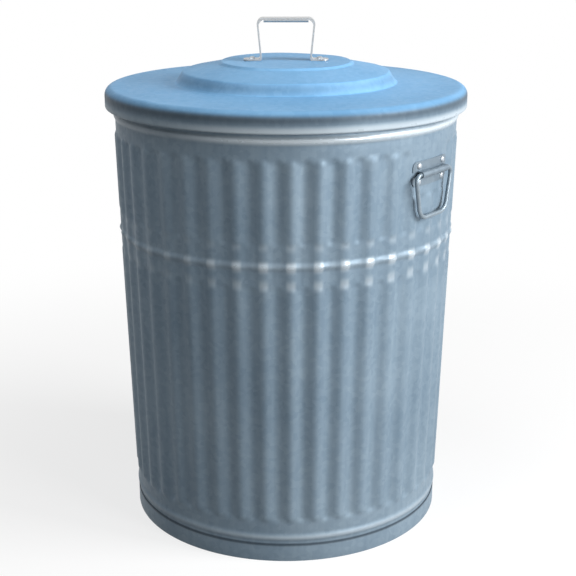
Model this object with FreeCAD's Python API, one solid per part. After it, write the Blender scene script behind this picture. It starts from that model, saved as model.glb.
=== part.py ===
"""Galvanized steel trash can with a lift-off lid, about 31 US gallons.

The frame's origin is the centre of the base on the floor, +Z is up, and the two drop handles face +X and -X.
The wall is a tapered sheet with two rows of vertical flutes, a wired rim, a lock seam at +Y and a recessed
bottom whose edge is folded round the wall's. The stepped lid fits over the rim and has a strap handle, and
on each side of the can a pressed plate holds a wire bail. All sizes are in millimetres.
"""
import FreeCAD, Part
import math
import os

Vector = FreeCAD.Vector

# Wall
SHEET = 0.55                 # thickness of the wall's and the lid's sheet
WALL_LOW_RADIUS = 239.5      # outer radius of the wall at the base
WALL_TOP_RADIUS = 255.5      # outer radius of the wall at the collar
CAN_HEIGHT = 667.0           # floor to the top of the rim, without the lid
COLLAR_DEPTH = 55.0          # straight collar, measured down from the rim's top
TOP_BEAD_DEPTH = 40.0        # middle of the collar's bead, down from the rim's top
TOP_BEAD_PROUD = 3.0
FOOT_BEAD_HEIGHT = 38.0      # middle of the bead above the base
FOOT_BEAD_PROUD = 2.2
MID_BEAD_PROUD = 2.6
BEAD_HALF_WIDTH = 7.0
BEAD_CROWN_RADIUS = 6.0
BEAD_FOOT_RADIUS = 4.0

# Flutes: convex ribs with concave grooves between them, in two rows
FLUTE_COUNT = 42
FLUTE_DEPTH = 2.5            # how far a rib stands out from the plain wall, and a groove in
FLUTE_END = 11.0             # length over which a flute's end rounds off
FLUTE_END_STEPS = (0.0, 0.15, 0.45, 1.0)
FLUTE_COLLAR_GAP = 8.0       # plain wall between the upper row and the collar
FLUTE_FOOT_GAP = 15.0        # plain wall between the foot bead and the lower row
MID_BAND_HEIGHT = 453.0      # middle of the plain band between the rows
MID_BAND_WIDTH = 50.0
FLUTE_PLATE_GAP = 9.0        # plain wall between a handle's plate and the flutes round it

# Rim and its wire
WIRE_RADIUS = 2.5
WIRE_GAP = 0.3
CURL_SWEEP = 310.0           # degrees that the sheet curls round the wire

# Lock seam
SEAM_AZIMUTH = 90.0
SEAM_WIDTH = 9.0
SEAM_PROUD = 1.2

# Bottom
PAN_SHEET = 0.7
PAN_HEIGHT = 22.0            # floor to the underside of the recessed bottom
PAN_RISE = 4.0               # step up to the middle panel
PAN_PANEL_RADIUS = 178.0
PAN_STEP_WIDTH = 8.0
PAN_BEND = 2.5
PAN_CORNER = 0.6
HEM_HEIGHT = 27.0
HEM_GAP = 0.3

# Lid
LID_CLEARANCE = 2.9          # between the rim and the lid's curl
LID_SEAT_GAP = 0.3
LID_SKIRT = 30.0             # lid's seat to the bottom of the skirt
LID_CURL_RADIUS = 2.6
LID_CURL_SWEEP = 285.0
LID_SHOULDER = 8.0           # radius of the bend into the skirt
LID_SEAT_WIDTH = 13.0
FLANGE_RISE = 4.0            # seat to the foot of the dome
DOME_RADIUS = 154.0
DOME_STEP_WIDTH = 11.0
DOME_STEP_RISE = 16.5
PLATEAU_RADIUS = 97.0
PLATEAU_RISE = 34.5          # seat to the flat top
PLATEAU_STEP_WIDTH = 4.0
PLATEAU_STEP_RISE = 3.5
LID_BEND = 5.0

# Rivets
SHANK_RADIUS = 1.6
SHANK_CLEARANCE = 0.25
HEAD_RADIUS = 4.6
HEAD_RISE = 2.4
HEAD_SEAT_GAP = 0.15
TAIL_RADIUS = 3.2
TAIL_RISE = 1.5
TAIL_SEAT_GAP = 0.3
RIVET_MARGIN = 2.0           # between a rivet's head and the edge of what it holds

# Lid handle: a strap whose grip has its edges curled under
STRAP = 2.0
STRAP_WIDTH = 25.0
STRAP_AZIMUTH = 37.0         # the lid lies turned by this much from the drop handles
STRAP_RISE = 62.0            # lid's top to the top of the grip
STRAP_TOP_HALF = 44.0
STRAP_FOOT_HALF = 38.0
STRAP_FOOT_LENGTH = 25.0
STRAP_FOOT_CORNER = 8.0
STRAP_TOP_BEND = 9.0
STRAP_FOOT_BEND = 4.0
GRIP_CURL_RADIUS = 3.2
GRIP_CURL_SWEEP = 215.0
GRIP_CURL_GAP = 2.0          # between the curled edge and the start of the strap's bend

# Drop handles
HANDLE_HEIGHT = 567.0        # the bail's pivot above the floor
BAIL_RADIUS = 3.0
BAIL_WALL_GAP = 2.8          # between the bail's wire and the wall, at the pivot
BAIL_DROP = 62.0
BAIL_TOP_HALF = 48.0
BAIL_GRIP_HALF = 34.0
BAIL_BEND = 9.0              # at the bail's ends
GRIP_BEND = 18.0             # at the ends of its grip
BAIL_END_GAP = 17.0          # from the channel's middle to each end of the bail
PLATE = 1.2
PLATE_GAP = 0.3
PLATE_HALF_LENGTH = 44.0
PLATE_CORNER = 8.0
CHANNEL_GAP = 0.4
CHANNEL_END_GAP = 4.0        # between the channel's end and the start of the bail's bend

# What follows from these sizes
CURL_RADIUS = WIRE_RADIUS + WIRE_GAP + SHEET
CURL_HEIGHT = CAN_HEIGHT - CURL_RADIUS
CURL_AXIS_RADIUS = WALL_TOP_RADIUS - SHEET + CURL_RADIUS
COLLAR_FOOT = CAN_HEIGHT - COLLAR_DEPTH
WALL_FOOT = FOOT_BEAD_HEIGHT + BEAD_HALF_WIDTH
EDGE_HEIGHT = PAN_SHEET + HEM_GAP
SLOPE = math.atan2(WALL_TOP_RADIUS - WALL_LOW_RADIUS, COLLAR_FOOT - WALL_FOOT)
FLUTE_STEP = 180.0 / FLUTE_COUNT
LOWER_ROW = (WALL_FOOT + FLUTE_FOOT_GAP, MID_BAND_HEIGHT - MID_BAND_WIDTH / 2)
UPPER_ROW = (MID_BAND_HEIGHT + MID_BAND_WIDTH / 2, COLLAR_FOOT - FLUTE_COLLAR_GAP)
LID_SEAT = CAN_HEIGHT + LID_SEAT_GAP + SHEET
LID_RADIUS = CURL_AXIS_RADIUS + CURL_RADIUS + LID_CLEARANCE + 2 * LID_CURL_RADIUS
LID_CURL_HEIGHT = LID_SEAT - LID_SKIRT + LID_CURL_RADIUS
LID_TOP = LID_SEAT + PLATEAU_RISE
BAIL_STANDOFF = BAIL_RADIUS + BAIL_WALL_GAP
CHANNEL_RADIUS = BAIL_RADIUS + CHANNEL_GAP
CHANNEL_HALF_LENGTH = BAIL_TOP_HALF - BAIL_BEND - CHANNEL_END_GAP
RIVET_INSET = HEAD_RADIUS + RIVET_MARGIN
PLATE_RIVET_UP = CHANNEL_RADIUS + PLATE + RIVET_INSET
PLATE_RIVET_ACROSS = PLATE_HALF_LENGTH - 2 * RIVET_INSET
PLATE_HALF_HEIGHT = PLATE_RIVET_UP + RIVET_INSET
AXIS = Vector(0, 0, 1)
ORIGIN = Vector(0, 0, 0)
TINY = 1e-6


def corner(radius, height, bend=0.0):
    """One corner of a profile in the XZ half plane, with the radius of its bend."""
    return (radius, height, bend)


def directions(corners):
    """Unit directions of the straight runs between corners."""
    runs = []
    for (r0, z0, _), (r1, z1, _) in zip(corners[:-1], corners[1:]):
        length = math.hypot(r1 - r0, z1 - z0)
        runs.append(((r1 - r0) / length, (z1 - z0) / length))
    return runs


def offset_profile(corners, distance):
    """The same profile moved sideways by distance, to the left of its direction of travel."""
    runs = directions(corners)
    moved = []
    for i, (r, z, bend) in enumerate(corners):
        before = runs[max(i - 1, 0)]
        after = runs[min(i, len(runs) - 1)]
        share = distance / (1 + before[0] * after[0] + before[1] * after[1])
        turn = before[0] * after[1] - before[1] * after[0]
        new_bend = max(0.0, bend - math.copysign(distance, turn)) if bend else 0.0
        shift = (-(before[1] + after[1]) * share, (before[0] + after[0]) * share)
        moved.append(corner(r + shift[0], z + shift[1], new_bend))
    return moved


def profile_edges(corners):
    """Lines and tangent arcs along a profile."""
    runs = directions(corners)
    edges = []
    start = Vector(corners[0][0], 0, corners[0][1])
    for (r, z, bend), before, after in zip(corners[1:-1], runs[:-1], runs[1:]):
        point = Vector(r, 0, z)
        angle = math.acos(max(-1.0, min(1.0, before[0] * after[0] + before[1] * after[1])))
        if bend < TINY or angle < TINY:
            edges.append(Part.makeLine(start, point))
            start = point
            continue
        cut = bend * math.tan(angle / 2)
        enter = point - Vector(before[0], 0, before[1]) * cut
        leave = point + Vector(after[0], 0, after[1]) * cut
        inward = Vector(after[0] - before[0], 0, after[1] - before[1]).normalize()
        middle = point + inward * (bend / math.cos(angle / 2) - bend)
        if start.distanceToPoint(enter) > TINY:
            edges.append(Part.makeLine(start, enter))
        edges.append(Part.Arc(enter, middle, leave).toShape())
        start = leave
    edges.append(Part.makeLine(start, Vector(corners[-1][0], 0, corners[-1][1])))
    return edges


def closed_face(edges):
    """The flat face inside a closed loop of edges."""
    return Part.Face(Part.Wire(Part.__sortEdges__(edges)))


def section_between(corners, other):
    """A face between two profiles that run the same way."""
    ends = [
        Part.makeLine(Vector(corners[i][0], 0, corners[i][1]), Vector(other[i][0], 0, other[i][1]))
        for i in (0, -1)
    ]
    return closed_face(profile_edges(corners) + profile_edges(other) + ends)


def sheet_section(corners, thickness):
    """A face: the profile thickened to the left of its direction of travel."""
    return section_between(corners, offset_profile(corners, thickness))


def ring_sector(centre_radius, centre_height, outer, thickness, start, sweep):
    """A C-shaped face in the XZ half plane, from start degrees (0 is outward, 90 is up) by sweep."""
    def at(radius, degrees):
        a = math.radians(degrees)
        return Vector(centre_radius + radius * math.cos(a), 0, centre_height + radius * math.sin(a))

    inner = outer - thickness
    half, end = start + sweep / 2, start + sweep
    return closed_face([
        Part.Arc(at(outer, start), at(outer, half), at(outer, end)).toShape(),
        Part.makeLine(at(outer, end), at(inner, end)),
        Part.Arc(at(inner, end), at(inner, half), at(inner, start)).toShape(),
        Part.makeLine(at(inner, start), at(outer, start)),
    ])


def revolve(face, degrees=360.0, middle=180.0):
    """The face turned about the can's axis by so many degrees, centred on the azimuth middle."""
    solid = face.revolve(ORIGIN, AXIS, degrees)
    solid.rotate(ORIGIN, AXIS, middle - degrees / 2)
    return solid


def turned(shape, degrees):
    """A copy turned about the can's axis."""
    copy = shape.copy()
    copy.rotate(ORIGIN, AXIS, degrees)
    return copy


def polar(radius, degrees, height):
    """A point at an azimuth and a height."""
    a = math.radians(degrees)
    return Vector(radius * math.cos(a), radius * math.sin(a), height)


def wall_radius(height):
    """Outer radius of the plain wall: a cone between the foot bead and the collar."""
    share = (height - WALL_FOOT) / (COLLAR_FOOT - WALL_FOOT)
    return WALL_LOW_RADIUS + (WALL_TOP_RADIUS - WALL_LOW_RADIUS) * min(1.0, max(0.0, share))


def wall_point(height, out=0.0):
    """A point at azimuth 0 on the cone of the wall's outside, or out from it along its normal."""
    return Vector(wall_radius(height) + out * math.cos(SLOPE), 0, height - out * math.sin(SLOPE))


def bead(height, proud):
    """Corners of a rounded bead round the wall, from its lower foot to its upper foot."""
    low, high = height - BEAD_HALF_WIDTH, height + BEAD_HALF_WIDTH
    return [
        corner(wall_radius(low), low, BEAD_FOOT_RADIUS),
        corner(wall_radius(height) + proud, height, BEAD_CROWN_RADIUS),
        corner(wall_radius(high), high, BEAD_FOOT_RADIUS),
    ]


def wall_corners(low, high):
    """The plain wall's outside from height low to height high."""
    bends = bead(FOOT_BEAD_HEIGHT, FOOT_BEAD_PROUD) + bead(MID_BAND_HEIGHT, MID_BEAD_PROUD)
    bends.append(corner(WALL_TOP_RADIUS, COLLAR_FOOT, BEAD_FOOT_RADIUS))
    bends += bead(CAN_HEIGHT - TOP_BEAD_DEPTH, TOP_BEAD_PROUD)
    between = [c for c in bends if low < c[1] < high]
    return [corner(wall_radius(low), low)] + between + [corner(wall_radius(high), high)]


def plain_tube(low, high):
    """A band of the wall without flutes, with level ends like those of the fluted bands."""
    outside = wall_corners(low, high)
    inside = offset_profile(outside, SHEET)
    for i in (0, -1):
        inside[i] = corner(outside[i][0] - SHEET, outside[i][1])
    return revolve(section_between(outside, inside))


def angle_between(first, second):
    """Smallest angle between two azimuths, in degrees."""
    return abs((first - second + 180.0) % 360.0 - 180.0)


def degrees_across(half_length, radius):
    """The azimuth at which a point on the wall lies half_length from the plane through azimuth 0."""
    return math.degrees(math.asin(half_length / radius))


def flute_top(azimuth, row):
    """Where a flute ends: the upper ones are short below a handle's plate."""
    by_plate = degrees_across(PLATE_HALF_LENGTH + FLUTE_PLATE_GAP, wall_radius(HANDLE_HEIGHT))
    if row == UPPER_ROW and min(angle_between(azimuth, 0), angle_between(azimuth, 180)) < by_plate:
        return HANDLE_HEIGHT - PLATE_HALF_HEIGHT - FLUTE_PLATE_GAP
    return row[1]


def flute_depth(step, height, row):
    """How far flute number step stands out from the wall at a height: ribs are even, grooves odd."""
    azimuth = step * FLUTE_STEP
    seam_half = math.degrees(SEAM_WIDTH / 2 / wall_radius(height))
    if angle_between(azimuth, SEAM_AZIMUTH) < FLUTE_STEP / 2 + seam_half:
        return 0.0
    reach = min(height - row[0], flute_top(azimuth, row) - height) / FLUTE_END
    share = math.sqrt(1 - (1 - min(1.0, max(0.0, reach))) ** 2)
    return FLUTE_DEPTH * share if step % 2 == 0 else -FLUTE_DEPTH * share


def flute_levels(row):
    """Heights of the rings that the flutes of a row run through."""
    tops = {flute_top(step * FLUTE_STEP, row) for step in range(2 * FLUTE_COUNT)} | {row[1]}
    levels = {row[0] + part * FLUTE_END for part in FLUTE_END_STEPS}
    levels |= {top - part * FLUTE_END for top in tops for part in FLUTE_END_STEPS}
    return sorted(levels)


def flute_ring(height, inset, row):
    """One arc for each flute, round the wall at a height."""
    radius = wall_radius(height) - inset
    ring = []
    for step in range(2 * FLUTE_COUNT):
        middle, half = step * FLUTE_STEP, FLUTE_STEP / 2
        crown = radius + flute_depth(step, height, row)
        start, end = polar(radius, middle - half, height), polar(radius, middle + half, height)
        ring.append(Part.Arc(start, polar(crown, middle, height), end).toShape())
    return ring


def fluted_tube(row):
    """A band of the wall with a row of flutes: ruled faces between rings, inside and outside."""
    faces, ends = [], []
    for inset in (0.0, SHEET):
        rings = [flute_ring(height, inset, row) for height in flute_levels(row)]
        for lower, upper in zip(rings[:-1], rings[1:]):
            faces += [Part.makeRuledSurface(a, b) for a, b in zip(lower, upper)]
        ends.append((Part.Wire(rings[0]), Part.Wire(rings[-1])))
    faces += [Part.makeFace([outer, inner], "Part::FaceMakerBullseye") for outer, inner in zip(*ends)]
    skin = Part.makeCompound(faces)
    skin.sewShape()
    tube = Part.makeSolid(skin.Shells[0])
    if tube.Volume < 0:
        tube.reverse()
    return tube


def rivet_frames():
    """(centre on the wall's outside, outward normal) of the four rivets of the plate at azimuth 0."""
    frames = []
    for height in (HANDLE_HEIGHT - PLATE_RIVET_UP, HANDLE_HEIGHT + PLATE_RIVET_UP):
        across = degrees_across(PLATE_RIVET_ACROSS, wall_radius(height))
        for azimuth in (-across, across):
            turn = FreeCAD.Rotation(AXIS, azimuth)
            normal = turn.multVec(Vector(math.cos(SLOPE), 0, -math.sin(SLOPE)))
            frames.append((turn.multVec(wall_point(height)), normal))
    return frames


def drill(centre, normal, reach):
    """A cutter for a rivet's hole, centred on a surface point and reaching so far to both sides."""
    return Part.makeCylinder(SHANK_RADIUS + SHANK_CLEARANCE, 2 * reach, centre - normal * reach, normal)


def lock_seam():
    """The folded seam that closes the wall, rooted halfway into its sheet."""
    low = HEM_HEIGHT + HEM_GAP
    high = CURL_HEIGHT - CURL_RADIUS - HEM_GAP
    root = offset_profile(wall_corners(low, high), SHEET / 2)
    section = sheet_section(root, -(SHEET / 2 + SEAM_PROUD))
    return revolve(section, math.degrees(SEAM_WIDTH / WALL_TOP_RADIUS), SEAM_AZIMUTH)


def body_shell():
    """The wall: fluted sheet with its beads, lock seam, rivet holes and the curl round the rim wire."""
    curl = ring_sector(CURL_AXIS_RADIUS, CURL_HEIGHT, CURL_RADIUS, SHEET, 180.0 - CURL_SWEEP, CURL_SWEEP)
    wall = plain_tube(EDGE_HEIGHT, LOWER_ROW[0]).fuse([
        fluted_tube(LOWER_ROW),
        plain_tube(LOWER_ROW[1], UPPER_ROW[0]),
        fluted_tube(UPPER_ROW),
        plain_tube(UPPER_ROW[1], CURL_HEIGHT),
        revolve(curl),
        lock_seam(),
    ])
    reach = SHEET + FLUTE_DEPTH
    holes = [turned(drill(c, n, reach), side) for side in (0, 180) for c, n in rivet_frames()]
    return wall.cut(holes)


def rim_wire():
    """The wire ring that the wall's top edge is curled round."""
    return Part.makeTorus(CURL_AXIS_RADIUS, WIRE_RADIUS, Vector(0, 0, CURL_HEIGHT), AXIS)


def bottom_pan():
    """The recessed bottom, with its edge folded under the wall and up outside it."""
    inside = WALL_LOW_RADIUS - SHEET - HEM_GAP - PAN_SHEET
    outside = WALL_LOW_RADIUS + HEM_GAP + PAN_SHEET
    panel = PAN_HEIGHT + PAN_RISE
    corners = [
        corner(0.0, panel),
        corner(PAN_PANEL_RADIUS - PAN_STEP_WIDTH, panel, PAN_BEND),
        corner(PAN_PANEL_RADIUS, PAN_HEIGHT, PAN_BEND),
        corner(inside, PAN_HEIGHT, PAN_BEND),
        corner(inside, 0.0, PAN_CORNER),
        corner(outside, 0.0, PAN_CORNER),
        corner(outside, HEM_HEIGHT),
    ]
    return revolve(sheet_section(corners, PAN_SHEET))


def lid_shell():
    """The stepped lid with its skirt and inward curl, and holes for the handle's rivets."""
    dome_top = LID_SEAT + FLANGE_RISE + DOME_STEP_RISE
    corners = [
        corner(0.0, LID_TOP),
        corner(PLATEAU_RADIUS, LID_TOP, PLATEAU_STEP_WIDTH),
        corner(PLATEAU_RADIUS + PLATEAU_STEP_WIDTH, LID_TOP - PLATEAU_STEP_RISE, PLATEAU_STEP_WIDTH),
        corner(DOME_RADIUS, dome_top, LID_BEND),
        corner(DOME_RADIUS + DOME_STEP_WIDTH, LID_SEAT + FLANGE_RISE, LID_BEND),
        corner(LID_RADIUS - LID_SHOULDER - LID_SEAT_WIDTH, LID_SEAT, LID_BEND),
        corner(LID_RADIUS, LID_SEAT, LID_SHOULDER),
        corner(LID_RADIUS, LID_CURL_HEIGHT),
    ]
    skirt = revolve(sheet_section(corners, -SHEET))
    curl = revolve(ring_sector(
        LID_RADIUS - LID_CURL_RADIUS, LID_CURL_HEIGHT, LID_CURL_RADIUS, SHEET, -LID_CURL_SWEEP, LID_CURL_SWEEP
    ))
    holes = [drill(centre, AXIS, 2 * SHEET) for centre in strap_rivet_centres()]
    return skirt.fuse(curl).cut(holes)


def strap_rivet_centres():
    """Where the lid handle's rivets pass through the lid's top."""
    out = STRAP_FOOT_HALF + STRAP_FOOT_LENGTH / 2
    half = STRAP_WIDTH / 2 - RIVET_INSET
    turn = FreeCAD.Rotation(AXIS, STRAP_AZIMUTH)
    return [turn.multVec(Vector(x, y, LID_TOP)) for x in (-out, out) for y in (-half, half)]


def lid_handle():
    """The strap handle: feet, legs and a grip whose edges are curled under."""
    top = LID_TOP + STRAP_RISE
    side = [
        corner(STRAP_TOP_HALF, top, STRAP_TOP_BEND),
        corner(STRAP_FOOT_HALF, LID_TOP + STRAP, STRAP_FOOT_BEND),
        corner(STRAP_FOOT_HALF + STRAP_FOOT_LENGTH, LID_TOP + STRAP),
    ]
    path = [corner(-x, z, bend) for x, z, bend in reversed(side)] + side
    strap = sheet_section(path, -STRAP).extrude(Vector(0, STRAP_WIDTH, 0))
    strap.translate(Vector(0, -STRAP_WIDTH / 2, 0))
    reach = STRAP_FOOT_HALF + STRAP_FOOT_LENGTH
    outline = Part.makeBox(2 * reach, STRAP_WIDTH, STRAP_RISE, Vector(-reach, -STRAP_WIDTH / 2, LID_TOP))
    upright = [e for e in outline.Edges if abs(e.tangentAt(e.FirstParameter).z) > 1 - TINY]
    strap = strap.common(outline.makeFillet(STRAP_FOOT_CORNER, upright))
    grip_half = STRAP_TOP_HALF - STRAP_TOP_BEND - GRIP_CURL_GAP
    section = ring_sector(
        STRAP_WIDTH / 2, top - GRIP_CURL_RADIUS, GRIP_CURL_RADIUS, STRAP, 90.0 - GRIP_CURL_SWEEP, GRIP_CURL_SWEEP
    )
    section.translate(Vector(-GRIP_CURL_RADIUS, 0, 0))
    curls = []
    for azimuth in (-90, 90):
        curl = turned(section, azimuth)
        curl.translate(Vector(-grip_half, 0, 0))
        curls.append(curl.extrude(Vector(2 * grip_half, 0, 0)))
    handle = turned(strap.fuse(curls).removeSplitter(), STRAP_AZIMUTH)
    return handle.cut([drill(centre, AXIS, 2 * STRAP) for centre in strap_rivet_centres()])


def handle_plate():
    """The pressed plate at azimuth 0 that holds a bail: it follows the wall, with a channel across it."""
    margin = PLATE_CORNER
    low, high = HANDLE_HEIGHT - PLATE_HALF_HEIGHT - margin, HANDLE_HEIGHT + PLATE_HALF_HEIGHT + margin
    back = offset_profile([corner(wall_radius(low), low), corner(wall_radius(high), high)], -PLATE_GAP)
    across = degrees_across(PLATE_HALF_LENGTH + margin, wall_radius(low))
    shell = revolve(sheet_section(back, -PLATE), 2 * across, 0.0)
    pin = wall_point(HANDLE_HEIGHT, BAIL_STANDOFF)
    blank = Part.makeBox(
        pin.x + CHANNEL_RADIUS + 2 * PLATE,
        2 * PLATE_HALF_LENGTH,
        2 * PLATE_HALF_HEIGHT,
        Vector(0, -PLATE_HALF_LENGTH, HANDLE_HEIGHT - PLATE_HALF_HEIGHT),
    )
    along_x = [e for e in blank.Edges if abs(e.tangentAt(e.FirstParameter).x) > 1 - TINY]
    shell = shell.common(blank.makeFillet(PLATE_CORNER, along_x))
    outside = channel_bar(pin, CHANNEL_RADIUS + PLATE, CHANNEL_HALF_LENGTH)
    inside = channel_bar(pin, CHANNEL_RADIUS, PLATE_HALF_LENGTH)
    back_line = closed_face(profile_edges(back + [corner(0.0, high), corner(0.0, low), back[0]]))
    plate = shell.fuse(outside).cut([inside, revolve(back_line)]).removeSplitter()
    return plate.cut([drill(centre, normal, 2 * (PLATE + PLATE_GAP)) for centre, normal in rivet_frames()])


def channel_bar(pin, radius, half_length):
    """A bar along Y, round on its outer side and straight-sided towards the wall."""
    tube = Part.makeCylinder(radius, 2 * half_length, Vector(pin.x, -half_length, pin.z), Vector(0, 1, 0))
    depth = pin.x / 2
    block = Part.makeBox(depth, 2 * half_length, 2 * radius, Vector(pin.x - depth, -half_length, pin.z - radius))
    return tube.fuse(block).removeSplitter()


def handle_bail():
    """The wire bail at azimuth 0, hanging from two ends that turn in the plate's channel."""
    pin = wall_point(HANDLE_HEIGHT, BAIL_STANDOFF)
    half = [
        corner(BAIL_END_GAP, pin.z),
        corner(BAIL_TOP_HALF, pin.z, BAIL_BEND),
        corner(BAIL_GRIP_HALF, pin.z - BAIL_DROP, GRIP_BEND),
    ]
    corners = half + [corner(-y, z, bend) for y, z, bend in reversed(half)]
    section = Part.Wire(Part.makeCircle(BAIL_RADIUS, Vector(BAIL_END_GAP, 0, pin.z), Vector(1, 0, 0)))
    bail = Part.Wire(profile_edges(corners)).makePipeShell([section], True, False)
    bail.rotate(ORIGIN, AXIS, 90)
    bail.translate(Vector(pin.x, 0, 0))
    return bail


def rivet(seat, normal, grip):
    """A rivet whose head sits on seat and whose tail closes on what lies grip behind it."""
    def dome(flat, crown, radius):
        shoulder = math.sqrt(0.5)
        bulge = Vector(radius * shoulder, 0, flat + (crown - flat) * shoulder)
        return Part.Arc(Vector(0, 0, crown), bulge, Vector(radius, 0, flat)).toShape()

    head, tail = HEAD_SEAT_GAP, -(grip + TAIL_SEAT_GAP)
    body = closed_face([
        dome(head, head + HEAD_RISE, HEAD_RADIUS),
        Part.makeLine(Vector(HEAD_RADIUS, 0, head), Vector(SHANK_RADIUS, 0, head)),
        Part.makeLine(Vector(SHANK_RADIUS, 0, head), Vector(SHANK_RADIUS, 0, tail)),
        Part.makeLine(Vector(SHANK_RADIUS, 0, tail), Vector(TAIL_RADIUS, 0, tail)),
        dome(tail, tail - TAIL_RISE, TAIL_RADIUS),
        Part.makeLine(Vector(0, 0, tail - TAIL_RISE), Vector(0, 0, head + HEAD_RISE)),
    ]).revolve(ORIGIN, AXIS, 360)
    body.Placement = FreeCAD.Placement(seat, FreeCAD.Rotation(AXIS, normal))
    return body


def plate_rivets():
    """The four rivets through the plate at azimuth 0 and the wall."""
    seat = PLATE_GAP + PLATE
    return Part.makeCompound([rivet(c + n * seat, n, seat + SHEET) for c, n in rivet_frames()])


def lid_handle_rivets():
    """The four rivets through the lid handle's feet and the lid."""
    lift = AXIS * STRAP
    return Part.makeCompound([rivet(c + lift, AXIS, STRAP + SHEET) for c in strap_rivet_centres()])


def sub_parts():
    """Every sub-part by the name of its node."""
    parts = {
        "body_shell": body_shell(),
        "rim_wire": rim_wire(),
        "bottom_pan": bottom_pan(),
        "lid_shell": lid_shell(),
        "lid_handle": lid_handle(),
        "lid_handle_rivets": lid_handle_rivets(),
    }
    plate, bail, rivets = handle_plate(), handle_bail(), plate_rivets()
    for side, azimuth in (("right", 0.0), ("left", 180.0)):
        parts[f"{side}_handle_plate"] = turned(plate, azimuth)
        parts[f"{side}_handle_bail"] = turned(bail, azimuth)
        parts[f"{side}_plate_rivets"] = turned(rivets, azimuth)
    return parts


def main():
    os.makedirs("parts", exist_ok=True)
    for name, shape in sub_parts().items():
        print(f"{name}: {len(shape.Solids)} solids, valid {shape.isValid()}, {shape.Volume / 1000:.1f} cm3")
        shape.exportStep(f"parts/{name}.step")
    pivot = wall_point(HANDLE_HEIGHT, BAIL_STANDOFF)
    print(f"bail pivot x {pivot.x:.4f} z {pivot.z:.4f}, lid top {LID_TOP:.2f}, lid radius {LID_RADIUS:.2f}")


main()
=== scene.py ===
"""Looks of the galvanized trash can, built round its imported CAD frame, in the frame's own axes."""

import math
import random

import bmesh
import bpy
import numpy as np
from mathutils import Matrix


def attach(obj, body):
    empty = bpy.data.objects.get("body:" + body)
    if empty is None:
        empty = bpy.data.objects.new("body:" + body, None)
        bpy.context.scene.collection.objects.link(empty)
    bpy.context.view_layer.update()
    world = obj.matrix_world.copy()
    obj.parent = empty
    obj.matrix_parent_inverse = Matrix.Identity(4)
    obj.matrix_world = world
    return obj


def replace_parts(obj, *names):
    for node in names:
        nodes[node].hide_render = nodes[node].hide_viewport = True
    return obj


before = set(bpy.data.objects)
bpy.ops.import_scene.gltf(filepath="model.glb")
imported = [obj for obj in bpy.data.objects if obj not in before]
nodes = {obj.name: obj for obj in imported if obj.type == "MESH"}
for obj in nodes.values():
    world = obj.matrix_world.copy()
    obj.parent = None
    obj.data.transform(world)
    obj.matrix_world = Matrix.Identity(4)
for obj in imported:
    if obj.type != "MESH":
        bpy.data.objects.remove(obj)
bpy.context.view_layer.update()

# Shapes are given in millimetres, as in the CAD source, and become metres as meshes are made.
# Angles in constants are in degrees. Azimuth 0 is +X for the shapes.
MM = 0.001
SHEET = 0.55

# Wall
WALL_LOW_RADIUS = 239.5
WALL_TOP_RADIUS = 255.5
WALL_MEAN_RADIUS = 250.0
WALL_FOOT = 45.0                 # the cone runs from here
COLLAR_FOOT = 612.0              # to here, and the collar above it is straight
EDGE_HEIGHT = 1.0                # the sheet's lower edge, inside the bottom's fold
BEADS = ((38.0, 1.9), (453.0, 2.2), (627.0, 2.5))      # height, how proud
BEAD_HALF_WIDTH = 7.5
CURL_RADIUS = 3.35
CURL_HEIGHT = 663.65
CURL_AXIS_RADIUS = 258.3
CURL_SWEEP = 310.0
CURL_MARGIN = 1.0                # the last stretch under the curl keeps the plain radius
CURL_STEPS = (12, 16)            # under the sheet, over it
OUTSIDE_SPANS = (                # start, end, step between rows of points
    (EDGE_HEIGHT, 28, 9), (28, 48, 1.7), (48, 58, 5), (58, 82, 2.6), (82, 412, 22),
    (412, 434, 2.4), (434, 444, 3), (444, 462, 1.6), (462, 472, 3), (472, 500, 2.6),
    (500, 520, 10), (520, 544, 2.6), (544, 584, 13), (584, 608, 2.6), (608, 618, 2),
    (618, 636, 1.5), (636, CURL_HEIGHT, 7),
)
INSIDE_SPANS = (
    (EDGE_HEIGHT, 30, 14), (30, 48, 3), (48, 82, 5.5), (82, 412, 33), (412, 444, 5.5),
    (444, 462, 3), (462, 500, 5.5), (500, 520, 20), (520, 544, 6), (544, 584, 20),
    (584, 618, 6), (618, 636, 3), (636, CURL_HEIGHT, 10),
)

# Flutes
FLUTE_COUNT = 42
FLUTE_DEPTH = 2.45
FLUTE_FADE = 9.0                 # how far a flute's end takes to run out
FLUTE_ARCH = 9.5                 # how much sooner a flute ends at its sides than in its middle
LOWER_ROW = (60.0, 428.0)
UPPER_ROW = (478.0, 604.0)
SHORT_TOP = 540.2                # the flutes under a handle plate end here
PLATE_HALF_LENGTH = 44.0
PLATE_RADIUS = 254.0             # of the wall, where the plates sit
FLUTE_PLATE_GAP = 9.0
PLATE_AZIMUTHS = (0, 180)
BAND_RIPPLE = 1.8                # what is left of the flutes on the band between the rows
BAND_TROUGH = -0.6               # its troughs go no deeper than this share of the ripple
BAND_OVERLAP = 12.0              # how far it runs into the rows
BAND_FADE = 14.0
COLUMNS_PER_FLUTE = 10

# Lock seam
SEAM_AZIMUTH = 90.0
SEAM_CLEARANCE = 1.0
SEAM_PROUD = 1.2
SEAM_SPANS = (
    (27.3, 30, 1.5), (30, 48, 2), (48, 444, 36), (444, 462, 2), (462, 618, 30), (618, 636, 2),
)
SEAM_TOP = (644.0, 652.0, 658.0, 660.0)
SEAM_END_SHARE = 0.45            # of its height that is left at its ends
SEAM_SECTION = (                 # across, out of the wall; the groove is at the right
    (-4.5, -0.25), (-4.45, 0.4), (-4.1, 0.85), (-3.5, SEAM_PROUD), (0, SEAM_PROUD),
    (2.0, SEAM_PROUD), (2.9, 1.12), (3.3, 0.62), (3.7, 0.5), (4.5, 0.1), (4.5, -0.25),
)

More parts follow.
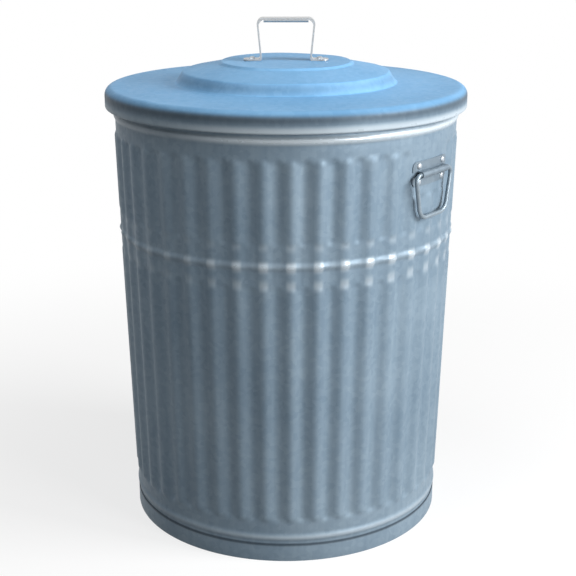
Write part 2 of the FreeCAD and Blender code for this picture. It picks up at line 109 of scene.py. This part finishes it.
# Unevenness of the sheet
PHASE_RANGE = 6.28
WAVE_FADES = ((40.0, 60.0), (640.0, 60.0))             # height, how far it takes: foot, top
DENT_COUNT = 9
DENT_RANGES = ((0, 360), (90, 400), (18, 34), (0.5, 1.1))      # azimuth, height, reach, depth

# Lid
LID_SEAT = 667.85
LID_TOP = 702.35
LID_RADIUS = 269.75
LID_CURL_RADIUS = 2.6
LID_CURL_HEIGHT = 640.45
LID_CURL_SWEEP = 285.0
LID_CURL_STEPS = (18, 14)        # outside, inside
LID_CORNERS = (                  # radius, height, bend
    (0.0, LID_TOP, 0.0),
    (97.0, LID_TOP, 4.0),                              # flat top
    (101.0, LID_TOP - 3.5, 4.0),                       # small step
    (154.0, 688.35, 5.0),                              # cone
    (165.0, 671.85, 5.0),                              # dome step
    (248.75, LID_SEAT, 5.0),                           # sloping flange
    (LID_RADIUS, LID_SEAT, 12.0),                      # shoulder
    (LID_RADIUS, LID_CURL_HEIGHT, 0.0),                # skirt
)
LID_DETAIL = ((8, 9.0), (6, 14.0))       # points round a bend, length of a run: over, under
LID_COLUMNS = 300
LID_WAVE_FADES = ((20.0, 60.0), (262.0, 40.0))         # radius, how far it takes: middle, edge
LID_WAVE_FLOOR = LID_CURL_HEIGHT + 8.0
LID_WAVE_SHARE = 0.8
LID_SAG = 0.9                    # keeps the uneven top inside the CAD's

# Recessed bottom
PAN_SHEET = 0.7
PAN_INSIDE_RADIUS = 237.95
PAN_OUTSIDE_RADIUS = 240.5
PAN_CORNERS = (                  # radius, height, bend
    (0.0, 26.0, 0.0),
    (170.0, 26.0, 2.5),                                # raised middle
    (178.0, 22.0, 2.5),
    (PAN_INSIDE_RADIUS, 22.0, 2.5),                    # down inside the wall
    (PAN_INSIDE_RADIUS, 0.0, 0.6),
    (PAN_OUTSIDE_RADIUS, 0.0, 0.6),                    # under it, and up outside it
    (PAN_OUTSIDE_RADIUS, 27.0, 0.0),
)
PAN_DETAIL = (5, 16.0)
PAN_COLUMNS = 240

SHARP_ANGLE = 38.0               # edges sharper than this stay sharp
MERGE_DISTANCE = 1e-6            # in metres

rng = random.Random(31)


# ---------------------------------------------------------------- profiles

def directions(corners):
    """Unit directions of the straight runs between corners (radius, height, bend)."""
    runs = []
    for a, b in zip(corners[:-1], corners[1:]):
        length = math.hypot(b[0] - a[0], b[1] - a[1])
        runs.append(((b[0] - a[0]) / length, (b[1] - a[1]) / length))
    return runs


def offset_profile(corners, distance):
    """The profile moved sideways by distance, to the left of its direction of travel."""
    runs = directions(corners)
    moved = []
    for i, (r, z, bend) in enumerate(corners):
        before, after = runs[max(i - 1, 0)], runs[min(i, len(runs) - 1)]
        share = distance / (1 + before[0] * after[0] + before[1] * after[1])
        turn = before[0] * after[1] - before[1] * after[0]
        new_bend = max(0.0, bend - math.copysign(distance, turn)) if bend else 0.0
        moved.append(
            (r - (before[1] + after[1]) * share, z + (before[0] + after[0]) * share, new_bend)
        )
    return moved


def rounded(corners, arc_steps, run_length):
    """Points along a profile: arcs at its bends, and the runs between them divided evenly."""
    tiny = 1e-6
    runs = directions(corners)
    stops = [[corners[0][:2]]]
    for (r, z, bend), before, after in zip(corners[1:-1], runs[:-1], runs[1:]):
        angle = math.acos(max(-1.0, min(1.0, before[0] * after[0] + before[1] * after[1])))
        if bend < tiny or angle < tiny:
            stops.append([(r, z)])
            continue
        cut = bend * math.tan(angle / 2)
        side = math.copysign(1.0, before[0] * after[1] - before[1] * after[0])
        start = (r - before[0] * cut, z - before[1] * cut)
        centre = (start[0] - before[1] * bend * side, start[1] + before[0] * bend * side)
        first = math.atan2(start[1] - centre[1], start[0] - centre[0])
        stops.append([
            (centre[0] + bend * math.cos(first + side * angle * k / arc_steps),
             centre[1] + bend * math.sin(first + side * angle * k / arc_steps))
            for k in range(arc_steps + 1)
        ])
    stops.append([corners[-1][:2]])
    points = list(stops[0])
    for group in stops[1:]:
        start, end = points[-1], group[0]
        pieces = max(1, round(math.hypot(end[0] - start[0], end[1] - start[1]) / run_length))
        points += [
            (start[0] + (end[0] - start[0]) * k / pieces,
             start[1] + (end[1] - start[1]) * k / pieces)
            for k in range(1, pieces)
        ]
        points += group
    return points


def arc(centre, radius, start, end, steps):
    """Points on a circle in the profile's plane, from start to end degrees."""
    angles = [math.radians(start + (end - start) * k / steps) for k in range(steps + 1)]
    return [(centre[0] + radius * math.cos(a), centre[1] + radius * math.sin(a)) for a in angles]


def levels(spans):
    """Heights from spans of (start, end, step), each start to just before its end."""
    made = []
    for start, end, step in spans:
        count = max(1, round((end - start) / step))
        made += [start + (end - start) * k / count for k in range(count)]
    return made


# ---------------------------------------------------------------- meshes

def add_mesh(name, verts, faces):
    """A closed mesh with outward faces, smooth apart from its sharp edges."""
    mesh = bpy.data.meshes.new(name)
    mesh.from_pydata([tuple(v) for v in verts], [], [tuple(f) for f in faces])
    bm = bmesh.new()
    bm.from_mesh(mesh)
    bmesh.ops.remove_doubles(bm, verts=bm.verts, dist=MERGE_DISTANCE)
    bmesh.ops.recalc_face_normals(bm, faces=bm.faces)
    bm.to_mesh(mesh)
    bm.free()
    mesh.shade_smooth()
    mesh.set_sharp_from_angle(angle=math.radians(SHARP_ANGLE))
    piece = bpy.data.objects.new(name, mesh)
    bpy.context.scene.collection.objects.link(piece)
    return piece


def grid_faces(rows, columns, close_rows=True):
    """Quads over a grid of points whose columns, and by choice its rows, wrap round."""
    index = np.arange(rows * columns).reshape(rows, columns)
    if close_rows:
        index = np.vstack([index, index[:1]])
    index = np.hstack([index, index[:, :1]])
    quads = [index[:-1, :-1], index[:-1, 1:], index[1:, 1:], index[1:, :-1]]
    return np.stack(quads, axis=-1).reshape(-1, 4)


def turned_mesh(name, loop, columns, warp=None):
    """A closed loop of profile points turned about the can's axis."""
    theta = np.arange(columns) * (2 * math.pi / columns)
    r = np.repeat(np.array([p[0] for p in loop])[:, None], columns, axis=1)
    z = np.repeat(np.array([p[1] for p in loop])[:, None], columns, axis=1)
    t = np.repeat(theta[None, :], len(loop), axis=0)
    if warp:
        r, z = warp(r, z, t)
    verts = np.stack([r * np.cos(t), r * np.sin(t), z], axis=-1).reshape(-1, 3) * MM
    return add_mesh(name, verts, grid_faces(len(loop), columns))


def slow_waves(seed, orders, amplitude, height_scale):
    """A smooth unevenness over azimuth and height, about amplitude millimetres either way."""
    source = random.Random(seed)
    terms = [
        (k, source.uniform(0, PHASE_RANGE), source.uniform(-1, 1) / height_scale) for k in orders
    ]

    def waves(t, z):
        total = sum(np.cos(k * t + phase + z * climb) for k, phase, climb in terms)
        return total * amplitude / math.sqrt(len(terms))
    return waves


def smooth(x):
    """0 to 1 with level ends."""
    x = np.clip(x, 0.0, 1.0)
    return x * x * (3 - 2 * x)


def between(x, fades):
    """1 between two places, each given with the length over which it fades in or out."""
    (start, fade_in), (end, fade_out) = fades
    return smooth((x - start) / fade_in) * smooth((end - x) / fade_out)


# ---------------------------------------------------------------- wall

def plain_radius(z):
    """Outer radius of the wall without flutes: a cone with a collar and rounded beads."""
    share = np.clip((z - WALL_FOOT) / (COLLAR_FOOT - WALL_FOOT), 0.0, 1.0)
    radius = WALL_LOW_RADIUS + (WALL_TOP_RADIUS - WALL_LOW_RADIUS) * share
    for height, proud in BEADS:
        away = np.clip(np.abs(z - height) / BEAD_HALF_WIDTH, 0.0, 1.0)
        radius = radius + proud * 0.5 * (1 + np.cos(math.pi * away))
    return radius


def gap_to(t, degrees):
    """Angle between azimuth t in radians and one in degrees, in radians."""
    return np.abs((t - math.radians(degrees) + math.pi) % (2 * math.pi) - math.pi)


def flute_height(t, z):
    """How far the flutes stand out (ribs) or in (grooves) of the plain wall."""
    step = math.pi / FLUTE_COUNT                       # from a rib's middle to a groove's
    wave = np.cos(FLUTE_COUNT * t)
    from_middle = np.abs((t + step / 2) % step - step / 2) / (step / 2)
    arch = FLUTE_ARCH * (1 - np.sqrt(np.clip(1 - from_middle ** 2, 0.0, 1.0)))
    middle = np.round(t / step) * step
    plate_half = math.asin((PLATE_HALF_LENGTH + FLUTE_PLATE_GAP) / PLATE_RADIUS)
    by_plate = np.minimum(*(gap_to(middle, azimuth) for azimuth in PLATE_AZIMUTHS)) < plate_half
    share = np.zeros_like(z)
    for low, high in (LOWER_ROW, UPPER_ROW):
        top = np.where(by_plate, min(high, SHORT_TOP), high)
        share = share + between(z, ((low + arch, FLUTE_FADE), (top - arch, FLUTE_FADE)))
    ripple = BAND_RIPPLE * between(
        z, ((LOWER_ROW[1] - BAND_OVERLAP, BAND_FADE), (UPPER_ROW[0] + BAND_OVERLAP, BAND_FADE))
    )
    depth = FLUTE_DEPTH * share * wave + ripple * np.clip(wave, BAND_TROUGH, 1.0) * (1 - share)
    by_seam = gap_to(t, SEAM_AZIMUTH) < step / 2 + math.radians(SEAM_CLEARANCE)
    return np.where(by_seam, 0.0, depth)


wall_waves = slow_waves(5, (2, 3, 5, 7), 0.35, 160.0)
fine_waves = slow_waves(9, (11, 13, 17), 0.12, 60.0)
dents = [[rng.uniform(low, high) for low, high in DENT_RANGES] for _ in range(DENT_COUNT)]


def wall_warp(r, z, t):
    """Flutes, slow unevenness that fades out at the base and the rim, and faint dents."""
    out = flute_height(t, z) + (wall_waves(t, z) + fine_waves(t, z)) * between(z, WAVE_FADES)
    for azimuth, height, reach, depth in dents:
        across = gap_to(t, azimuth) * WALL_MEAN_RADIUS
        out = out - depth * np.exp(-(across ** 2 + (z - height) ** 2) / reach ** 2)
    return r + out * (z < CURL_HEIGHT - CURL_MARGIN), z


def wall_loop():
    """The wall's section: up its outside, round the rim's curl and back, and down its inside."""
    centre = (CURL_AXIS_RADIUS, CURL_HEIGHT)
    turn_end = 180.0 - CURL_SWEEP
    up = [(float(plain_radius(z)), z) for z in levels(OUTSIDE_SPANS) + [CURL_HEIGHT]]
    down = [(float(plain_radius(z)) - SHEET, z) for z in levels(INSIDE_SPANS) + [CURL_HEIGHT]]
    under = arc(centre, CURL_RADIUS - SHEET, 180.0, turn_end, CURL_STEPS[0])
    over = arc(centre, CURL_RADIUS, turn_end, 180.0, CURL_STEPS[1])
    return up + under[1:] + over[:-1] + down[::-1]


def lock_seam():
    """The folded seam up the back of the wall, rounded, with a groove along one side."""
    heights = levels(SEAM_SPANS) + list(SEAM_TOP)
    rows = []
    for z in heights:
        base = float(plain_radius(z))
        end = SEAM_END_SHARE if z in (heights[0], heights[-1]) else 1.0
        for across, out in SEAM_SECTION:
            a = math.radians(SEAM_AZIMUTH) + across / base
            r = base + (out * end if out > 0 else out)
            rows.append((r * math.cos(a) * MM, r * math.sin(a) * MM, z * MM))
    columns = len(SEAM_SECTION)
    faces = [tuple(f) for f in grid_faces(len(heights), columns, close_rows=False)]
    faces.append(tuple(range(columns)))
    faces.append(tuple(range(len(rows) - columns, len(rows))))
    return add_mesh("lock_seam", rows, faces)


# ---------------------------------------------------------------- lid and bottom

lid_waves = slow_waves(21, (2, 3, 4, 6), 0.45, 200.0)


def lid_warp(r, z, t):
    """The pressed top is a little uneven; its skirt stays round and inside the CAD's."""
    top = between(r, LID_WAVE_FADES) * (z > LID_WAVE_FLOOR)
    return r, z + (lid_waves(t, r) - LID_SAG) * top * LID_WAVE_SHARE


def lid_loop():
    """The lid's section: over its top, down the skirt, round the curl and back underneath."""
    centre = (LID_RADIUS - LID_CURL_RADIUS, LID_CURL_HEIGHT)
    top = rounded(LID_CORNERS, *LID_DETAIL[0])
    underside = rounded(offset_profile(LID_CORNERS, -SHEET), *LID_DETAIL[1])
    outer = arc(centre, LID_CURL_RADIUS, 0.0, -LID_CURL_SWEEP, LID_CURL_STEPS[0])
    inner = arc(centre, LID_CURL_RADIUS - SHEET, -LID_CURL_SWEEP, 0.0, LID_CURL_STEPS[1])
    return top + outer[1:] + inner[:-1] + underside[::-1]


def pan_loop():
    """The recessed bottom's section, folded under the wall and up outside it."""
    near = rounded(PAN_CORNERS, *PAN_DETAIL)
    far = rounded(offset_profile(PAN_CORNERS, PAN_SHEET), *PAN_DETAIL)
    return near + far[::-1]


# ---------------------------------------------------------------- materials, in metres

NOISE_MIDDLE = 0.5
CRYSTAL_CONTRAST = 0.22          # how much each cause changes the mix of a zinc's two colours
CLOUD_CONTRAST = 1.1
WOBBLE = (0.5, 0.9)              # scale and reach of the crystals' wavy edges, in crystals
STREAKS = (130.0, 3.0)           # scale, detail
STREAK_STRETCH = 0.05            # streaks run up and down
CLOUDS = (7.0, 4.0)
GRAIN = (900.0, 2.0)
CRYSTAL_ROUGHNESS = 0.10         # how much each cause changes the roughness
CLOUD_ROUGHNESS = 0.12
RELIEF_SHARES = (0.35, 0.4, 0.5)         # crystals, grain, streaks
RELIEF_DISTANCE = 0.0002
RELIEF_STRENGTH = 0.35
SKY_REFLECTION_RISE = (0.15, 0.7)        # faces with a normal's Z above these begin to take, take the painted sky reflection
# colour of the painted shade bands
PAINTED_SHADE = (0.012, 0.018, 0.028, 1.0)
# colour of the painted highlight bands
PAINTED_HIGHLIGHT = (0.55, 0.62, 0.67, 1.0)
HIGHLIGHT_SMOOTHER = 0.3
RIB_WAVE = (0.1, 0.9)            # the flutes' cosine where a rib's painted highlight begins, is full
LIT_SIDE = (0.88, -0.47, 0.0)   # the lamps light this side most, and the painted highlights are strongest here
LIT_SIDE_REACH = (0.10, 0.24)
UNLIT_SIDE_SHARE = 0.3                 # what is left of the painted highlights on the other side


def add_node(tree, kind, inputs=None, **settings):
    """A shader node with its settings, and its inputs set or linked."""
    made = tree.nodes.new(kind)
    for key, value in settings.items():
        setattr(made, key, value)
    for key, value in (inputs or {}).items():
        if isinstance(value, bpy.types.NodeSocket):
            tree.links.new(value, made.inputs[key])
        else:
            made.inputs[key].default_value = value
    return made


def calc(tree, operation, first, second=0.0, clamp=False):
    """One Math node's result."""
    inputs = {0: first, 1: second}
    return add_node(tree, "ShaderNodeMath", inputs, operation=operation, use_clamp=clamp).outputs[0]


def spread(tree, value, low, high, to_low, to_high):
    """One Map Range node's result."""
    inputs = {
        "Value": value, "From Min": low, "From Max": high, "To Min": to_low, "To Max": to_high,
    }
    made = add_node(tree, "ShaderNodeMapRange", inputs, interpolation_type="SMOOTHSTEP")
    return made.outputs["Result"]


def mix_colour(tree, share, first, second):
    """One colour Mix node's result. Its sockets share names, so they go by number."""
    inputs = {0: share, 6: first, 7: second}
    return add_node(tree, "ShaderNodeMix", inputs, data_type="RGBA").outputs[2]


def noise(tree, vector, scale, detail):
    """One Noise Texture node's outputs."""
    inputs = {"Vector": vector, "Scale": scale, "Detail": detail}
    return add_node(tree, "ShaderNodeTexNoise", inputs).outputs


def about_middle(tree, value, contrast):
    """A 0 to 1 value as a change of either sign."""
    return calc(tree, "MULTIPLY", calc(tree, "SUBTRACT", value, NOISE_MIDDLE), contrast)


def band(tree, height, at, half, strength):
    """strength at a height in millimetres, falling to nothing half its width away."""
    away = calc(tree, "ABSOLUTE", calc(tree, "SUBTRACT", height, at * MM))
    return spread(tree, away, 0.0, half * MM, strength, 0.0)


def zinc(name, dark, light, metallic, roughness, spangle=0.007, streaks=0.4, shade=(), sky_reflection=None,
         gloss=0.5, painted_highlights=()):
    """Galvanized steel: a spangle of zinc crystals, drawn streaks, a cloudy patina and fine grain.
    The shade bands, (height, half width, strength), are painted shade that darkens the metal.
    The highlight bands, (height, half width, strength, on ribs), are painted highlights, lighter and
    smoother, all the way round or only on the ribs, and strongest on the side that the lamps light.
    The pair of (dark, light) colours for the faces that look up is a painted reflection of a blue
    sky.
    """
    material = bpy.data.materials.new(name)
    material.use_nodes = True
    tree = material.node_tree
    tree.nodes.clear()
    coords = add_node(tree, "ShaderNodeTexCoord").outputs["Object"]
    x, y, height = add_node(tree, "ShaderNodeSeparateXYZ", {0: coords}).outputs

    wobble = noise(tree, coords, WOBBLE[0] / spangle, 1.0)["Color"]
    shift = add_node(
        tree, "ShaderNodeVectorMath", {0: wobble, 3: spangle * WOBBLE[1]}, operation="SCALE"
    ).outputs[0]
    moved = add_node(
        tree, "ShaderNodeVectorMath", {0: coords, 1: shift}, operation="ADD"
    ).outputs[0]
    cells = add_node(
        tree, "ShaderNodeTexVoronoi", {"Vector": moved, "Scale": 1 / spangle, "Randomness": 1.0}
    ).outputs["Color"]
    tone, dullness, bulge = add_node(tree, "ShaderNodeSeparateColor", {0: cells}).outputs
    tall = add_node(
        tree, "ShaderNodeMapping", {"Vector": coords, "Scale": (1.0, 1.0, STREAK_STRETCH)}
    ).outputs[0]
    streak = noise(tree, tall, *STREAKS)["Fac"]
    cloud = noise(tree, coords, *CLOUDS)["Fac"]
    grain = noise(tree, coords, *GRAIN)["Fac"]

    total = calc(
        tree, "ADD", about_middle(tree, tone, CRYSTAL_CONTRAST), about_middle(tree, streak, streaks)
    )
    total = calc(tree, "ADD", total, about_middle(tree, cloud, CLOUD_CONTRAST))
    share = calc(tree, "ADD", total, NOISE_MIDDLE, clamp=True)
    colour = mix_colour(tree, share, dark, light)
    # faces that look up are mixed toward a painted reflection of a blue sky
    if sky_reflection:
        facing = add_node(tree, "ShaderNodeTexCoord").outputs["Normal"]
        rise = add_node(tree, "ShaderNodeSeparateXYZ", {0: facing}).outputs[2]
        top = spread(tree, rise, *SKY_REFLECTION_RISE, 0.0, 1.0)
        colour = mix_colour(tree, top, colour, mix_colour(tree, share, *sky_reflection))
    # painted shade bands, darkened toward a near-black
    for at, half, strength in shade:
        colour = mix_colour(tree, band(tree, height, at, half, strength), colour, PAINTED_SHADE)

    rough = calc(tree, "MULTIPLY", dullness, CRYSTAL_ROUGHNESS)
    rough = calc(tree, "ADD", rough, roughness - CRYSTAL_ROUGHNESS / 2)
    # painted highlight bands: a lighter colour and a lower roughness, strongest on the side that the
    # lamps light
    if painted_highlights:
        phase = calc(tree, "MULTIPLY", calc(tree, "ARCTAN2", y, x), float(FLUTE_COUNT))
        rib = spread(tree, calc(tree, "COSINE", phase), *RIB_WAVE, 0.0, 1.0)
        towards = add_node(
            tree, "ShaderNodeVectorMath", {0: coords, 1: LIT_SIDE}, operation="DOT_PRODUCT"
        ).outputs["Value"]
        lit_share = spread(tree, towards, *LIT_SIDE_REACH, UNLIT_SIDE_SHARE, 1.0)
    for at, half, strength, on_ribs in painted_highlights:
        near = calc(tree, "MULTIPLY", band(tree, height, at, half, strength), lit_share)
        near = calc(tree, "MULTIPLY", near, rib) if on_ribs else near
        colour = mix_colour(tree, near, colour, PAINTED_HIGHLIGHT)
        rough = calc(tree, "SUBTRACT", rough, calc(tree, "MULTIPLY", near, HIGHLIGHT_SMOOTHER))
    rough = calc(tree, "ADD", rough, calc(tree, "MULTIPLY", cloud, CLOUD_ROUGHNESS), clamp=True)

    crystals, grains, streaky = (
        calc(tree, "MULTIPLY", cause, part)
        for cause, part in zip((bulge, grain, streak), RELIEF_SHARES)
    )
    relief = calc(tree, "ADD", calc(tree, "ADD", crystals, grains), streaky)
    bump = add_node(tree, "ShaderNodeBump", {
        "Height": relief, "Strength": RELIEF_STRENGTH, "Distance": RELIEF_DISTANCE,
    })
    shader = add_node(tree, "ShaderNodeBsdfPrincipled", {
        "Base Color": colour, "Roughness": rough, "Normal": bump.outputs[0], "Metallic": metallic,
        "Specular IOR Level": gloss,
    })
    output = add_node(tree, "ShaderNodeOutputMaterial")
    tree.links.new(shader.outputs[0], output.inputs[0])
    return material


def dress(piece, material):
    """Gives a piece or a CAD node its material."""
    piece.data.materials.clear()
    piece.data.materials.append(material)


wall_zinc = zinc(
    "galvanized_wall", (0.12, 0.18, 0.24, 1), (0.25, 0.325, 0.39, 1), 0.20, 0.45, gloss=0.2,
    shade=((26.5, 3.5, 0.7),),                         # painted shade line where the bottom's fold ends
    # painted highlights, lighter and smoother, on:
    painted_highlights=(
        (627.0, 8.0, 1.0, False),                      # collar bead
        (453.0, 9.0, 0.15, False), (453.0, 12.0, 0.75, True),      # middle bead, and on its ribs
        (38.0, 6.0, 0.4, False),                       # foot bead
        (426.0, 12.0, 0.4, True), (481.0, 10.0, 0.2, True),        # ends of the two rows' ribs
    ),
)
lid_zinc = zinc(
    "galvanized_lid", (0.12, 0.18, 0.24, 1), (0.24, 0.32, 0.39, 1), 0.15, 0.46,
    streaks=0.1, gloss=0.1,
    shade=((657.0, 13.0, 0.6), (680.0, 9.0, 0.2)),     # painted shade on the upper skirt and the dome step
    painted_highlights=((641.5, 9.0, 0.7, False),),                # painted highlight on the curl and lower skirt
    # painted reflection of a blue sky on the faces that look up
    sky_reflection=((0.13, 0.32, 0.55, 1), (0.24, 0.47, 0.72, 1)),
)
wire_zinc = zinc(
    "galvanized_wire", (0.15, 0.20, 0.24, 1), (0.30, 0.36, 0.41, 1), 0.5, 0.34, 0.004
)
plate_zinc = zinc(
    "galvanized_plate", (0.11, 0.15, 0.19, 1), (0.22, 0.28, 0.33, 1), 0.4, 0.38, 0.006
)
strap_zinc = zinc("handle_strap", (0.38, 0.39, 0.40, 1), (0.58, 0.59, 0.59, 1), 0.5, 0.32, 0.005)
rivet_zinc = zinc("rivet_steel", (0.32, 0.36, 0.40, 1), (0.55, 0.59, 0.62, 1), 0.6, 0.28, 0.003)


# ---------------------------------------------------------------- pieces

wall = turned_mesh("can_wall", wall_loop(), FLUTE_COUNT * COLUMNS_PER_FLUTE, wall_warp)
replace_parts(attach(wall, "can"), "body_shell")
dress(wall, wall_zinc)

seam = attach(lock_seam(), "can")
dress(seam, wall_zinc)

bottom = turned_mesh("can_bottom", pan_loop(), PAN_COLUMNS)
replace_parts(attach(bottom, "can"), "bottom_pan")
dress(bottom, wall_zinc)

lid = turned_mesh("lid_sheet", lid_loop(), LID_COLUMNS, lid_warp)
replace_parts(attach(lid, "lid"), "lid_shell")
dress(lid, lid_zinc)

dress(nodes["rim_wire"], wire_zinc)
dress(nodes["lid_handle"], strap_zinc)
dress(nodes["lid_handle_rivets"], rivet_zinc)
for side in ("right", "left"):
    dress(nodes[f"{side}_handle_plate"], plate_zinc)
    dress(nodes[f"{side}_handle_bail"], wire_zinc)
    dress(nodes[f"{side}_plate_rivets"], rivet_zinc)


# ---------------------------------------------------------------- stage, light and camera

# Camera-style azimuths: 0 looks along +Y and they grow towards +X. Lengths are in metres.
FLOOR_RADIUS = 40.0
FLOOR_SIDES = 64
FLOOR_SEEN = (0.92, 0.92, 0.92, 1)
FLOOR_UNSEEN = (0.15, 0.15, 0.15, 1)     # for light that it throws back at the can
FLOOR_WHITE = ((0.3, 0.7), (1.5, 1.0))   # distance, share of pure white: near, far
WORLD_UNSEEN = 0.11                      # strength, for light that falls on the can
AIM_HEIGHT = 0.35
CAMERA_AZIMUTH = 37.0
CAMERA_DOWN = 17.31
CAMERA_PLACE = (1.1230, -1.4903, 0.928)
FOCAL_LENGTH = 77.6
SENSOR_WIDTH = 36.0
SHIFT_X = 0.0035
CLIP = (0.05, 100.0)


def seen_directly(tree):
    """1 for the rays that show a surface itself: to the camera, in a reflection, through glass."""
    rays = add_node(tree, "ShaderNodeLightPath").outputs
    both = calc(tree, "ADD", rays["Is Camera Ray"], rays["Is Glossy Ray"])
    return calc(tree, "ADD", both, rays["Is Transmission Ray"], clamp=True)


def make_floor():
    """A plain pale floor that keeps the shadow near the can and runs to white far off."""
    angles = np.linspace(0, 2 * math.pi, FLOOR_SIDES, endpoint=False)
    verts = [(FLOOR_RADIUS * math.cos(a), FLOOR_RADIUS * math.sin(a), 0.0) for a in angles]
    mesh = bpy.data.meshes.new("floor")
    mesh.from_pydata(verts, [], [tuple(range(FLOOR_SIDES))])
    floor = bpy.data.objects.new("floor", mesh)
    bpy.context.scene.collection.objects.link(floor)
    material = bpy.data.materials.new("floor")
    material.use_nodes = True
    tree = material.node_tree
    tree.nodes.clear()
    coords = add_node(tree, "ShaderNodeTexCoord").outputs["Object"]
    reach = add_node(tree, "ShaderNodeVectorMath", {0: coords}, operation="LENGTH").outputs["Value"]
    seen = seen_directly(tree)
    colour = mix_colour(tree, seen, FLOOR_UNSEEN, FLOOR_SEEN)
    lit = add_node(tree, "ShaderNodeBsdfDiffuse", {"Color": colour})
    white = add_node(tree, "ShaderNodeEmission", {"Color": (1, 1, 1, 1), "Strength": 1.0})
    (near, near_share), (far, far_share) = FLOOR_WHITE
    whiteness = spread(tree, reach, near, far, near_share, far_share)
    share = calc(tree, "MULTIPLY", whiteness, seen)
    blend = add_node(
        tree, "ShaderNodeMixShader", {0: share, 1: lit.outputs[0], 2: white.outputs[0]}
    )
    output = add_node(tree, "ShaderNodeOutputMaterial")
    tree.links.new(blend.outputs[0], output.inputs[0])
    mesh.materials.append(material)


def make_world():
    """A white surround as seen, which lights the object only softly."""
    world = bpy.data.worlds.new("studio")
    bpy.context.scene.world = world
    world.use_nodes = True
    tree = world.node_tree
    tree.nodes.clear()
    strength = spread(tree, seen_directly(tree), 0.0, 1.0, WORLD_UNSEEN, 1.0)
    background = add_node(
        tree, "ShaderNodeBackground", {"Color": (1, 1, 1, 1), "Strength": strength}
    )
    output = add_node(tree, "ShaderNodeOutputWorld")
    tree.links.new(background.outputs[0], output.inputs[0])


def add_area(name, azimuth, elevation, distance, size, power):
    """A soft square lamp aimed at the can's middle."""
    lamp = bpy.data.lights.new(name, "AREA")
    lamp.shape, lamp.size, lamp.energy = "SQUARE", size, power
    holder = bpy.data.objects.new(name, lamp)
    a, e = math.radians(azimuth), math.radians(elevation)
    holder.location = (
        distance * math.sin(a) * math.cos(e),
        -distance * math.cos(a) * math.cos(e),
        AIM_HEIGHT + distance * math.sin(e),
    )
    holder.rotation_euler = (math.pi / 2 - e, 0.0, a)
    bpy.context.scene.collection.objects.link(holder)


def make_camera():
    """The photograph's camera, as fitted to the can's outline."""
    lens = bpy.data.cameras.new("camera")
    lens.lens, lens.sensor_width, lens.shift_x = FOCAL_LENGTH, SENSOR_WIDTH, SHIFT_X
    lens.clip_start, lens.clip_end = CLIP
    camera = bpy.data.objects.new("camera", lens)
    camera.location = CAMERA_PLACE
    camera.rotation_euler = (math.radians(90.0 - CAMERA_DOWN), 0.0, math.radians(CAMERA_AZIMUTH))
    bpy.context.scene.collection.objects.link(camera)
    bpy.context.scene.camera = camera


make_floor()
make_world()
add_area("key", CAMERA_AZIMUTH + 72.0, 28.0, 2.6, 1.1, 72.0)
add_area("low", CAMERA_AZIMUTH + 46.0, 12.0, 2.6, 0.8, 38.0)
add_area("top", CAMERA_AZIMUTH - 60.0, 66.0, 2.6, 1.6, 26.0)
make_camera()
bpy.context.scene.view_settings.view_transform = "Standard"
